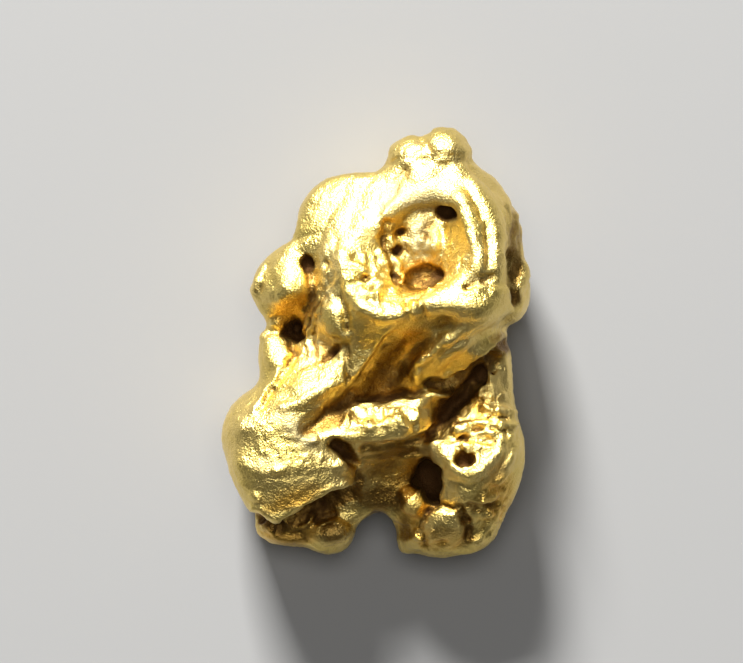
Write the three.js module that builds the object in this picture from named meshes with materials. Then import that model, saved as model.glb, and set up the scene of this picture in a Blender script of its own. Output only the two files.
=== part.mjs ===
// A natural gold nugget, lying on its broad underside.
// Millimetres, +Z up, +Y along the nugget's length, origin under the middle of its box.
// Rounded masses give the nugget its outline and its sides. A sheet stretched over named
// crests and troughs gives it its folded top. A fine net is then drawn over the two.
import * as THREE from "three";
import { ImprovedNoise } from "three/addons/math/ImprovedNoise.js";

const LENGTH = 12; // along Y, from the feet to the knob
const WIDTH = 8.65; // along X, from the block to the flank bump
const THICKNESS = 5.5; // along Z, from the worn underside to the crater's right lip
const NET = 0.282; // grid step of the net
const NET_BOX = { low: [-4.9, -6.6, -0.4], high: [4.9, 6.6, 6.2] }; // the space it is drawn in
const EVENING_PASSES = 12; // passes that even the net out on the surface
const MELT = 0.4; // how softly the masses run together
const SHOULDER = 0.25; // how softly the folded top rounds over into the sides
const CELL = 0.1; // grid step of the stretched sheet
const SHEET = { left: -4.9, right: 4.9, low: -6.5, high: 6.5, edge: 2.4 }; // its extent and edge height

// The masses: centre, half sizes, turns about X, Y and Z in degrees, and squareness.
const masses = [
  { name: "belly", at: [0.2, -0.9, 2.3], half: [3.1, 4.1, 2.5] },
  { name: "middle", at: [0.3, -1.0, 3.6], half: [2.6, 3.6, 2.4] },
  { name: "crown", at: [1.7, 2.6, 3.0], half: [2.42, 2.65, 3.2], square: 2.2 },
  { name: "knob", at: [1.92, 5.25, 2.9], half: [0.72, 0.78, 1.05] },
  { name: "knob shoulder", at: [0.98, 5.08, 2.8], half: [0.66, 0.7, 1.0] },
  { name: "left shoulder", at: [-0.55, 3.05, 2.8], half: [1.68, 1.78, 2.4], square: 2.2 },
  { name: "left lobe", at: [-2.38, 1.72, 2.8], half: [1.0, 1.15, 1.9], turn: [0, 0, -38], square: 2.2 },
  { name: "left lump", at: [-2.58, -0.25, 2.5], half: [0.72, 0.85, 1.6] },
  { name: "shelf", at: [-1.65, -1.0, 3.1], half: [1.45, 1.15, 2.2], turn: [-12, 0, 28] },
  { name: "block", at: [-2.45, -2.75, 2.8], half: [1.75, 1.8, 2.7], turn: [0, 0, 22], square: 2.5 },
  { name: "block face", at: [-2.05, -3.6, 3.2], half: [1.7, 1.1, 1.9], turn: [22, 0, 24], square: 4 },
  { name: "flank bump", at: [3.85, 1.5, 2.6], half: [0.52, 0.9, 1.5] },
  { name: "right neck", at: [3.0, -0.9, 2.6], half: [0.86, 1.7, 2.0] },
  { name: "right lobe", at: [2.6, -3.0, 2.6], half: [1.6, 2.1, 2.5] },
  { name: "right haunch", at: [2.55, -4.55, 2.1], half: [1.05, 1.25, 1.8] },
  { name: "left foot", at: [-2.35, -4.95, 1.6], half: [1.05, 0.7, 1.3] },
  { name: "left toe", at: [-1.3, -5.12, 1.8], half: [0.78, 0.74, 1.2] },
  { name: "right foot", at: [1.75, -5.05, 1.9], half: [0.9, 0.9, 1.35] },
  { name: "right toe", at: [0.8, -5.45, 1.5], half: [0.42, 0.42, 0.8] },
  { name: "knuckle", at: [1.1, -4.35, 2.5], half: [0.48, 0.46, 0.75] },
];

// Hollows cut after the sheet, softer or crisper at the rim.
const hollows = [
  { name: "gold pocket", at: [1.3, 1.9, 4.4], half: [0.45, 0.35, 0.6], soft: 0.12 },
  { name: "left pit", at: [-2.35, 0.48, 3.1], half: [0.4, 0.3, 0.8], soft: 0.15 },
  { name: "deep pit", at: [1.45, -3.7, 3.3], half: [0.32, 0.55, 1.3], soft: 0.15 },
  { name: "notch", at: [0.12, -5.85, 2.4], half: [0.56, 1.25, 4.5], soft: 0.2 },
  { name: "under the block", at: [-1.6, -5.0, 3.3], half: [1.7, 0.4, 0.7], turn: [0, 0, 22], soft: 0.2 },
];

// The folded top: crests, troughs and breaks in the slope, each a line of points.
const relief = [
  { name: "knobs", line: [[0.55, 5.3, 4.2], [1, 5.6, 4.4], [1.9, 5.8, 4.5], [2.5, 5.4, 4.2]] },
  { name: "knob neck", line: [[0.6, 4.98, 3.85], [1.2, 5.02, 3.97], [1.9, 5.05, 4.02], [2.5, 4.95, 3.9]] },
  {
    name: "rim crest",
    line: [
      [0.1, 3.2, 4.5], [0.3, 3.7, 4.45], [0.8, 4.1, 4.4], [1.4, 4.25, 4.4], [2, 4.2, 4.5],
      [2.3, 3.95, 4.65],
    ],
  },
  { name: "rim top edge", line: [[0.6, 4.6, 3.95], [1.2, 4.75, 4.1], [1.8, 4.8, 4.15], [2.4, 4.7, 4.1]] },
  {
    name: "crater wall foot",
    line: [
      [0.6, 3.2, 4.1], [1, 3.55, 4.02], [1.5, 3.7, 3.98], [1.93, 3.6, 3.9], [2, 3.3, 4.15],
      [1.95, 2.8, 4.28], [1.9, 2.3, 4.28],
    ],
  },
  { name: "boss", line: [[1.35, 3.3, 4.08], [1.4, 2.9, 4.15], [1.3, 2.5, 4.1]] },
  { name: "gully", line: [[0.65, 2.95, 4], [0.58, 2.45, 4.08], [0.68, 1.95, 4.2]] },
  {
    name: "crumbly slope",
    line: [[-0.3, 2.6, 4.42], [0, 2.35, 4.42], [0.1, 1.9, 4.62], [0.35, 1.5, 4.82], [0.8, 1.45, 4.75]],
  },
  { name: "pocket", line: [[1.05, 1.95, 3.95], [1.4, 1.75, 3.8], [1.7, 1.95, 3.85]] },
  {
    name: "inner right ridge",
    line: [[2.3, 3.95, 4.7], [2.4, 3.6, 4.85], [2.6, 3.1, 5.05], [2.7, 2.6, 5.2], [2.72, 2.1, 5.3]],
  },
  {
    name: "right groove",
    line: [[2.75, 3.8, 4.6], [3, 3.2, 4.8], [3.05, 2.6, 4.95], [2.95, 2, 5.05], [2.9, 1.8, 5]],
  },
  {
    name: "outer right ridge",
    line: [
      [2.5, 4.6, 4.15], [2.85, 4.25, 4.3], [3.15, 3.8, 4.5], [3.35, 3.3, 4.7], [3.42, 2.7, 4.9],
      [3.4, 2.1, 5.05],
    ],
  },
  {
    name: "right flank",
    line: [
      [3.1, 4.8, 3.3], [3.6, 4.2, 3.4], [3.88, 3.6, 3.5], [4, 2.9, 3.6], [4.05, 2.3, 3.7],
      [4.15, 1.6, 3.6],
    ],
  },
  { name: "right lip", line: [[1.45, 1.25, 5.4], [2.1, 1.25, 5.5], [2.9, 1.3, 5.55], [3.5, 1.45, 5.3]] },
  { name: "right lip inside", line: [[1.5, 1.6, 5.15], [2.2, 1.65, 5.25], [2.9, 1.7, 5.3]] },
  {
    name: "left lip",
    line: [
      [-0.95, 2.5, 4.7], [-1, 2.1, 4.85], [-0.8, 1.55, 5.1], [-0.4, 1.05, 5.35], [0.1, 0.82, 5.5],
      [0.7, 0.8, 5.5], [1.05, 0.95, 5.35],
    ],
  },
  {
    name: "left lip inside",
    line: [
      [-0.6, 2.5, 4.6], [-0.65, 2.1, 4.7], [-0.45, 1.7, 4.9], [-0.1, 1.4, 5.1], [0.3, 1.2, 5.25],
      [0.75, 1.2, 5.2],
    ],
  },
  { name: "lip link", line: [[1.05, 0.95, 5.35], [1.45, 1.25, 5.4]] },
  {
    name: "left shoulder edge",
    line: [[-2.15, 3.3, 3.3], [-1.7, 3.95, 3.4], [-1.1, 4.3, 3.5], [-0.3, 4.6, 3.55], [0.3, 4.75, 3.6]],
  },
  { name: "left shoulder", line: [[-1.6, 3, 3.95], [-0.9, 3.1, 4.2], [-0.3, 3.25, 4.4], [0.1, 3.2, 4.5]] },
  { name: "khaki strip", line: [[-1.5, 2.6, 4.15], [-1.4, 2, 4.3], [-1.35, 1.5, 4.35]] },
  { name: "left lobe top", line: [[-2, 2.75, 3.6], [-2.5, 2.6, 3.5], [-3, 2.1, 3.4]] },
  { name: "left lobe crest", line: [[-2, 1.6, 4.1], [-2.4, 1.4, 4.3], [-2.95, 1.3, 4]] },
  { name: "left lobe foot", line: [[-3.3, 1.5, 3.3], [-3.1, 0.95, 3.1], [-2.5, 0.9, 3.3], [-2.1, 1, 3.6]] },
  {
    name: "left crevice",
    line: [[-1.95, 2.4, 3.55], [-1.8, 2, 3.75], [-1.75, 1.3, 3.7], [-1.95, 0.8, 3.1]],
  },
  { name: "cavity", line: [[-2.75, 0.6, 2.9], [-2.35, 0.45, 2.65], [-2.1, 0.25, 2.85]] },
  { name: "leaf", line: [[-1.4, 1.15, 4.4], [-1.1, 0.6, 4.55], [-0.95, 0.3, 4.5]] },
  { name: "folds", line: [[-1.6, 0.9, 4], [-1.85, 0.35, 3.5], [-1.6, 0.05, 3.6], [-1.1, -0.1, 3.95]] },
  { name: "lump", line: [[-2.95, 0.1, 3.1], [-2.85, -0.4, 3.4], [-2.8, -0.9, 3.75]] },
  { name: "lump side", line: [[-3.2, -0.2, 3], [-3.2, -1, 3.4], [-3.5, -1.5, 3.6]] },
  { name: "shelf foot", line: [[-2.5, 0.1, 3.1], [-2.1, 0.05, 3.3], [-1.5, -0.15, 3.8]] },
  {
    name: "shelf crest",
    line: [[-3, -1.6, 4.15], [-2.4, -1.75, 4.6], [-1.5, -1.3, 4.6], [-0.9, -0.8, 4.5], [-0.85, -0.3, 4.35]],
  },
  { name: "shadow band", line: [[-1.9, -2.3, 4.5], [-1, -1.65, 4.05], [-0.4, -1.25, 3.75]] },
  {
    name: "block top",
    line: [
      [-3.9, -2.3, 4.15], [-3.1, -2.1, 4.55], [-2.3, -2.2, 4.62], [-1.7, -2.5, 4.6],
      [-1.2, -2.6, 4.48],
    ],
  },
  {
    name: "block break",
    line: [[-4, -3.2, 4.1], [-3.5, -3.5, 4.48], [-3, -3.55, 4.6], [-2, -3.45, 4.6], [-0.9, -3.3, 4.45]],
  },
  {
    name: "block low edge",
    line: [
      [-3.7, -4.1, 4], [-3.3, -4.65, 4.05], [-2.95, -4.88, 4.08], [-2.5, -4.88, 4.1],
      [-1.9, -4.45, 4.22], [-1.2, -4.1, 4.26], [-0.65, -3.85, 4.15],
    ],
  },
  {
    name: "block drop",
    line: [
      [-3.6, -4.8, 2.6], [-3, -5.1, 2.6], [-2.4, -5.1, 2.5], [-1.7, -4.68, 2.7], [-1.1, -4.35, 2.8],
      [-0.45, -4.1, 3],
    ],
  },
  {
    name: "bar foot",
    line: [[-0.95, -1.8, 3.9], [-0.5, -1.58, 3.55], [0.2, -1.55, 3.4], [0.9, -1.38, 3.45]],
  },
  {
    name: "bar brow",
    line: [[-0.95, -2, 4.2], [-0.5, -1.82, 4.1], [0.2, -1.8, 4.08], [0.9, -1.63, 4.08], [1.35, -1.55, 4]],
  },
  {
    name: "bar crest",
    line: [
      [-1.2, -2.45, 4.48], [-0.6, -2.58, 4.58], [0, -2.56, 4.62], [0.6, -2.5, 4.6], [1.1, -2.36, 4.5],
      [1.6, -2.1, 4.25],
    ],
  },
  {
    name: "bar drop",
    line: [[-0.9, -2.8, 4], [-0.3, -2.86, 3.85], [0.3, -2.82, 3.85], [0.9, -2.7, 3.7], [1.45, -2.52, 3.4]],
  },
  { name: "under bar", line: [[0.3, -3.3, 3.5], [0.3, -4, 3.1], [0.3, -4.6, 2.6]] },
  { name: "under bar left", line: [[-0.4, -3.3, 3.6], [-0.35, -3.9, 3.2], [-0.5, -4.6, 2.6]] },
  {
    name: "facet edge",
    line: [[0.9, 0.6, 4.95], [0.5, 0.4, 4.9], [0, 0, 4.6], [-0.5, -0.6, 4.3], [-0.9, -1, 4.15]],
  },
  {
    name: "valley",
    line: [[1.7, 0.5, 4.45], [1.1, 0.05, 4.05], [0.75, -0.35, 3.8], [0.35, -0.8, 3.58], [0.1, -1.2, 3.45]],
  },
  { name: "valley floor", line: [[-0.3, -1.3, 3.6], [0.3, -1.3, 3.42], [0.9, -1.2, 3.5]] },
  { name: "lip shade", line: [[2.95, 1, 5.38], [2.3, 0.75, 4.98], [1.6, 0.5, 4.6]] },
  {
    name: "diagonal crest",
    line: [
      [3.5, 1, 5.05], [2.75, 0.72, 5.22], [2.2, 0.3, 4.95], [1.9, 0, 4.8], [1.5, -0.35, 4.6],
      [1.15, -0.6, 4.4], [1.05, -1, 4.15],
    ],
  },
  {
    name: "roll",
    line: [[3.6, 0.6, 4.3], [3.2, 0.3, 4.55], [2.7, -0.1, 4.45], [2, -0.55, 4.2], [1.4, -0.85, 3.95]],
  },
  {
    name: "shadow line",
    line: [[3.7, 0.1, 3.9], [3.5, 0, 4.1], [2.8, -0.5, 4], [2.1, -0.85, 3.8], [1.4, -1.1, 3.7]],
  },
  {
    name: "crevice",
    line: [[3.7, -0.4, 3.1], [2.8, -0.9, 3.1], [2.2, -1.5, 3.1], [1.7, -2, 3.2], [1.5, -2.5, 3.3]],
  },
  { name: "right neck", line: [[3.65, -0.7, 3.3], [3.2, -1.1, 3.4], [2.8, -1.6, 3.5]] },
  { name: "right slope", line: [[2.1, -2.3, 3.6], [3, -2.2, 3.85], [3.85, -2, 3.75]] },
  {
    name: "right crest",
    line: [
      [1.6, -2.8, 3.85], [1.8, -3.1, 4.05], [2.1, -3.4, 4.25], [2.6, -3.6, 4.45], [3.2, -3.45, 4.45],
      [3.8, -2.9, 4.15],
    ],
  },
  { name: "right back", line: [[2.2, -4.3, 3.8], [2.9, -4.4, 3.8], [3.5, -4, 3.6]] },
  { name: "right low", line: [[2.6, -5.2, 3], [3.1, -5, 3], [3.6, -4.4, 3]] },
  { name: "pit", line: [[1.55, -3.3, 3], [1.3, -3.7, 2.7], [1.5, -4.1, 2.7]] },
  { name: "right foot", line: [[0.8, -4.4, 2.7], [1.1, -4.3, 3.1], [1.3, -4.6, 3], [1.9, -4.9, 3.1]] },
  { name: "left foot", line: [[-3, -5.3, 2.5], [-2.2, -5.3, 2.5], [-1.3, -5.1, 2.9], [-0.9, -5, 2.7]] },
];

const rad = THREE.MathUtils.degToRad;
const noise = new ImprovedNoise();

for (const f of [...masses, ...hollows]) {
  const [rx, ry, rz] = (f.turn ?? [0, 0, 0]).map(rad);
  f.into = new THREE.Matrix4().makeRotationFromEuler(new THREE.Euler(rx, ry, rz, "ZYX")).invert().elements;
  f.reach = Math.max(...f.half) * (f.square ? 1.35 : 1);
}

function smoothMin(a, b, k) {
  const h = Math.max(k - Math.abs(a - b), 0) / k;
  return Math.min(a, b) - (h * h * k) / 4;
}

function smoothMax(a, b, k) {
  return -smoothMin(-a, -b, k);
}

function bump(x, y, z, size) {
  return noise.noise(x / size + 11.3, y / size + 4.7, z / size + 8.1);
}

// Heights on a grid: the relief's lines are held, and the rest relaxes between them.
function stretchedSheet() {
  const columns = Math.round((SHEET.right - SHEET.left) / CELL) + 1;
  const rows = Math.round((SHEET.high - SHEET.low) / CELL) + 1;
  const height = new Float64Array(columns * rows).fill(SHEET.edge);
  const held = new Uint16Array(columns * rows);
  for (const { line } of relief) {
    for (let i = 1; i < line.length; i++) {
      const [ax, ay, az] = line[i - 1];
      const [bx, by, bz] = line[i];
      const steps = Math.ceil(Math.hypot(bx - ax, by - ay) / (CELL / 2));
      for (let s = 0; s <= steps; s++) {
        const t = s / steps;
        const column = Math.round((ax + (bx - ax) * t - SHEET.left) / CELL);
        const row = Math.round((ay + (by - ay) * t - SHEET.low) / CELL);
        const k = row * columns + column;
        height[k] = (height[k] * held[k] + az + (bz - az) * t) / (held[k] + 1);
        held[k] += 1;
      }
    }
  }
  for (let sweep = 0; sweep < 400; sweep++) {
    for (let row = 1; row < rows - 1; row++) {
      for (let column = 1; column < columns - 1; column++) {
        const k = row * columns + column;
        if (held[k]) continue;
        const mean = (height[k - 1] + height[k + 1] + height[k - columns] + height[k + columns]) / 4;
        height[k] += 1.9 * (mean - height[k]);
      }
    }
  }
  let soft = height;
  for (let pass = 0; pass < 3; pass++) {
    const sharp = soft;
    soft = sharp.slice();
    for (let row = 1; row < rows - 1; row++) {
      for (let column = 1; column < columns - 1; column++) {
        const k = row * columns + column;
        const beside = sharp[k - 1] + sharp[k + 1] + sharp[k - columns] + sharp[k + columns];
        const above = sharp[k + columns - 1] + sharp[k + columns + 1];
        const below = sharp[k - columns - 1] + sharp[k - columns + 1];
        soft[k] = sharp[k] / 4 + beside / 8 + (above + below) / 16;
      }
    }
  }
  return { height: soft, columns, rows };
}

const sheet = stretchedSheet();

// Distance above the stretched sheet, allowing for its slope there.
function reliefDistance(x, y, z) {
  const u = THREE.MathUtils.clamp((x - SHEET.left) / CELL, 0, sheet.columns - 1.001);
  const v = THREE.MathUtils.clamp((y - SHEET.low) / CELL, 0, sheet.rows - 1.001);
  const k = Math.floor(v) * sheet.columns + Math.floor(u);
  const fu = u - Math.floor(u);
  const fv = v - Math.floor(v);
  const h00 = sheet.height[k];
  const h10 = sheet.height[k + 1];
  const h01 = sheet.height[k + sheet.columns];
  const h11 = sheet.height[k + sheet.columns + 1];
  const h = (h00 * (1 - fu) + h10 * fu) * (1 - fv) + (h01 * (1 - fu) + h11 * fu) * fv;
  const slopeX = ((h10 - h00) * (1 - fv) + (h11 - h01) * fv) / CELL;
  const slopeY = ((h01 - h00) * (1 - fu) + (h11 - h10) * fu) / CELL;
  return (z - h) / Math.sqrt(1 + slopeX * slopeX + slopeY * slopeY);
}

// Distance to an ellipsoid, or to a squarer one, near enough close to its surface.
function massDistance(f, x, y, z) {
  const dx = x - f.at[0];
  const dy = y - f.at[1];
  const dz = z - f.at[2];
  const m = f.into;
  const u = Math.abs(m[0] * dx + m[4] * dy + m[8] * dz) / f.half[0] + 1e-9;
  const v = Math.abs(m[1] * dx + m[5] * dy + m[9] * dz) / f.half[1] + 1e-9;
  const w = Math.abs(m[2] * dx + m[6] * dy + m[10] * dz) / f.half[2] + 1e-9;
  const n = f.square ?? 2;
  const k = (u ** n + v ** n + w ** n) ** (1 / n);
  const steep = Math.hypot(u ** (n - 1) / f.half[0], v ** (n - 1) / f.half[1], w ** (n - 1) / f.half[2]);
  return ((k - 1) * k ** (n - 1)) / steep;
}

// How far outside a mass's reach a point is, so that far masses are skipped.
function gap(f, x, y, z) {
  return Math.hypot(x - f.at[0], y - f.at[1], z - f.at[2]) - f.reach;
}

function surfaceDistance(x, y, z) {
  let d = 100;
  for (const f of masses) {
    if (gap(f, x, y, z) < d + MELT) d = smoothMin(d, massDistance(f, x, y, z), MELT);
  }
  d = smoothMax(d, reliefDistance(x, y, z), SHOULDER);
  for (const f of hollows) {
    if (gap(f, x, y, z) < f.soft - d) d = smoothMax(d, -massDistance(f, x, y, z), f.soft);
  }
  d += 0.07 * bump(x, y, z, 0.9) + 0.03 * bump(x, y, z, 0.42);
  return Math.max(d, -z);
}

// The outward direction at a point whose distance d is known.
function outward(x, y, z, d, out) {
  const e = 0.01;
  out.set(surfaceDistance(x + e, y, z), surfaceDistance(x, y + e, z), surfaceDistance(x, y, z + e));
  return out.subScalar(d).normalize();
}

// Where the corners of a grid square alternate in and out, the net would touch itself, so
// the corner nearest the surface changes sides.
function clearCheckers(value, node, [nx, ny, nz]) {
  const steps = [node(1, 0, 0), node(0, 1, 0), node(0, 0, 1)];
  for (let found = true; found; ) {
    found = false;
    for (let k = 0; k < nz; k++) {
      for (let j = 0; j < ny; j++) {
        for (let i = 0; i < nx; i++) {
          const first = node(i, j, k);
          for (const [a, b] of [[0, 1], [1, 2], [2, 0]]) {
            const square = [first, first + steps[a], first + steps[a] + steps[b], first + steps[b]];
            const inside = square.map((c) => value[c] < 0);
            if (inside[0] !== inside[2] || inside[1] !== inside[3] || inside[0] === inside[1]) continue;
            square.sort((c, d) => Math.abs(value[c]) - Math.abs(value[d]));
            value[square[0]] *= -1;
            found = true;
          }
        }
      }
    }
  }
}

// One vertex in each grid cell that the surface passes through, and one four-sided face
// across each grid edge that it crosses.
function drawNet() {
  const [nx, ny, nz] = NET_BOX.high.map((v, i) => Math.ceil((v - NET_BOX.low[i]) / NET));
  const at = (axis, i) => NET_BOX.low[axis] + i * NET;
  const node = (i, j, k) => (k * (ny + 1) + j) * (nx + 1) + i;
  const value = new Float64Array((nx + 1) * (ny + 1) * (nz + 1));
  for (let k = 0; k <= nz; k++) {
    for (let j = 0; j <= ny; j++) {
      for (let i = 0; i <= nx; i++) value[node(i, j, k)] = surfaceDistance(at(0, i), at(1, j), at(2, k));
    }
  }
  clearCheckers(value, node, [nx, ny, nz]);
  const corners = [0, 1, 2, 3, 4, 5, 6, 7].map((c) => [c & 1, (c >> 1) & 1, c >> 2]);
  const points = [];
  const vertexIn = new Int32Array(value.length).fill(-1);
  for (let k = 0; k < nz; k++) {
    for (let j = 0; j < ny; j++) {
      for (let i = 0; i < nx; i++) {
        const sum = new THREE.Vector3();
        let crossings = 0;
        for (let a = 0; a < 8; a++) {
          for (let b = a + 1; b < 8; b++) {
            if (![1, 2, 4].includes(a ^ b)) continue;
            const va = value[node(i + corners[a][0], j + corners[a][1], k + corners[a][2])];
            const vb = value[node(i + corners[b][0], j + corners[b][1], k + corners[b][2])];
            if (va < 0 === vb < 0) continue;
            const t = va / (va - vb);
            sum.x += corners[a][0] + (corners[b][0] - corners[a][0]) * t;
            sum.y += corners[a][1] + (corners[b][1] - corners[a][1]) * t;
            sum.z += corners[a][2] + (corners[b][2] - corners[a][2]) * t;
            crossings += 1;
          }
        }
        if (!crossings) continue;
        sum.divideScalar(crossings);
        vertexIn[node(i, j, k)] = points.length;
        points.push(new THREE.Vector3(at(0, i + sum.x), at(1, j + sum.y), at(2, k + sum.z)));
      }
    }
  }
  const quads = [];
  for (let k = 1; k < nz; k++) {
    for (let j = 1; j < ny; j++) {
      for (let i = 1; i < nx; i++) {
        const here = value[node(i, j, k)] < 0;
        const across = [
          [value[node(i + 1, j, k)] < 0, [[i, j - 1, k - 1], [i, j, k - 1], [i, j, k], [i, j - 1, k]]],
          [value[node(i, j + 1, k)] < 0, [[i - 1, j, k - 1], [i - 1, j, k], [i, j, k], [i, j, k - 1]]],
          [value[node(i, j, k + 1)] < 0, [[i - 1, j - 1, k], [i, j - 1, k], [i, j, k], [i - 1, j, k]]],
        ];
        for (const [there, cells] of across) {
          if (here === there) continue;
          const quad = cells.map((c) => vertexIn[node(...c)]);
          quads.push(here ? quad : quad.reverse());
        }
      }
    }
  }
  return { points, quads };
}

// Evens the net's vertices along the surface, and puts each on it.
function settle({ points, quads }) {
  const around = points.map(() => new Set());
  for (const quad of quads) {
    quad.forEach((v, i) => around[v].add(quad[(i + 1) % 4]).add(quad[(i + 3) % 4]));
  }
  const n = new THREE.Vector3();
  for (let pass = 0; pass < EVENING_PASSES; pass++) {
    const before = points.map((v) => v.clone());
    points.forEach((v, i) => {
      const d = surfaceDistance(v.x, v.y, v.z);
      outward(v.x, v.y, v.z, d, n);
      const drift = new THREE.Vector3();
      for (const j of around[i]) drift.add(before[j]);
      drift.divideScalar(around[i].size).sub(before[i]);
      drift.addScaledVector(n, -drift.dot(n));
      v.addScaledVector(drift, pass < EVENING_PASSES - 3 ? 0.4 : 0);
      v.addScaledVector(n, -THREE.MathUtils.clamp(d, -0.15, 0.15) * 0.8);
    });
  }
  for (const v of points) if (v.z < 0.02) v.z = 0;
}

// Splits each face along its shorter diagonal.
function netGeometry({ points, quads }) {
  const index = [];
  for (const [a, b, c, d] of quads) {
    const shorter = points[a].distanceTo(points[c]) < points[b].distanceTo(points[d]);
    index.push(...(shorter ? [a, b, c, a, c, d] : [a, b, d, b, c, d]));
  }
  return new THREE.BufferGeometry().setFromPoints(points).setIndex(index);
}

const goldSkin = new THREE.MeshStandardMaterial({ color: 0xd9a83c, roughness: 0.35, metalness: 1 });
const net = drawNet();
settle(net);
const shape = netGeometry(net);
shape.computeBoundingBox();
const size = shape.boundingBox.getSize(new THREE.Vector3());
shape.scale(WIDTH / size.x, LENGTH / size.y, THICKNESS / size.z);
shape.computeBoundingBox();
const middle = shape.boundingBox.getCenter(new THREE.Vector3());
shape.translate(-middle.x, -middle.y, 0);

const nugget = new THREE.Mesh(shape, goldSkin);
nugget.name = "nugget";

const group = new THREE.Group();
group.add(nugget);
export default group;
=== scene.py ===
import bpy
import math
import random
import numpy as np
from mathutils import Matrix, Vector, noise
from mathutils.bvhtree import BVHTree


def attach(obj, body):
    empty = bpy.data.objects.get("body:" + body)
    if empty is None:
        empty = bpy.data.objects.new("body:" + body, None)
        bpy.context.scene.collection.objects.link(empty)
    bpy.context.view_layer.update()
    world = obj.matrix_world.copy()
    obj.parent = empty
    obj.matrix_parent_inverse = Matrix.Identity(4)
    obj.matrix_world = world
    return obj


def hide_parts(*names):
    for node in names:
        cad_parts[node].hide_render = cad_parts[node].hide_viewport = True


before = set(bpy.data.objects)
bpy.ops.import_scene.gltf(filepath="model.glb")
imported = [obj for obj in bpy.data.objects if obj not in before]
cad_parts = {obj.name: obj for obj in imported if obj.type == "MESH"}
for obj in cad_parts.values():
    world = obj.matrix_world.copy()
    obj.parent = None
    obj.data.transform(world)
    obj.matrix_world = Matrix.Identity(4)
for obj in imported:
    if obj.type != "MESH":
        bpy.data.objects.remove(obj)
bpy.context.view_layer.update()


# ways of working: the nugget is modelled in millimetres and brought down to metres at the end

def clearSelection():
    for other in bpy.context.selected_objects:
        other.select_set(False)


def makeActive(thing):
    clearSelection()
    thing.select_set(True)
    bpy.context.view_layer.objects.active = thing


def applyModifier(thing, kind, **settings):
    makeActive(thing)
    modifier = thing.modifiers.new(kind.title(), kind)
    for name, value in settings.items():
        setattr(modifier, name, value)
    bpy.ops.object.modifier_apply(modifier=modifier.name)


def joinAll(target, things):
    makeActive(target)
    for thing in things:
        thing.select_set(True)
    bpy.ops.object.join()


def applyPlace(thing):
    makeActive(thing)
    bpy.ops.object.transform_apply(location=True, rotation=True, scale=True)


def cloudTexture(name, size, depth, hard):
    texture = bpy.data.textures.new(name, "CLOUDS")
    texture.noise_scale = size
    texture.noise_depth = depth
    texture.noise_type = "HARD_NOISE" if hard else "SOFT_NOISE"
    return texture


nuggetForm = {
    "voxel": 0.066,  # mesh size after a remesh, in millimetres
    "wobble": 0.07,  # how far the edges of the marks below wander
    "buckle": 0.05,  # height of the broad dents
    "hammer": 0.035,  # height of the small dents
    "crumb": 0.09,  # height of the broken grain where the gold is crumbly
    "wobbleScale": 2.6,  # how closely the wandering turns
    "fineWobbleScale": 7.0,
    "runOut": 1.3,  # a ridge or crease fades out at this many half widths
    "holeRunOut": 1.1,
    "seed": 7,
}
noise.seed_set(nuggetForm["seed"])  # without this the wobble would be another one at each run

clearSelection()
node = bpy.data.objects["nugget"]
nugget = bpy.data.objects.new("goldNugget", node.data.copy())
bpy.context.scene.collection.objects.link(nugget)
nugget.matrix_world = node.matrix_world
makeActive(nugget)
bpy.ops.object.mode_set(mode="EDIT")
bpy.ops.mesh.select_all(action="SELECT")
bpy.ops.mesh.remove_doubles(threshold=2e-6)  # still in metres here
bpy.ops.object.mode_set(mode="OBJECT")
applyPlace(nugget)
nugget.scale = (1000, 1000, 1000)
applyPlace(nugget)
applyModifier(nugget, "SUBSURF", levels=1, render_levels=1)
applyModifier(nugget, "REMESH", mode="VOXEL", voxel_size=nuggetForm["voxel"])
print("nugget copied, merged and remeshed:", len(nugget.data.polygons), "faces")

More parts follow.
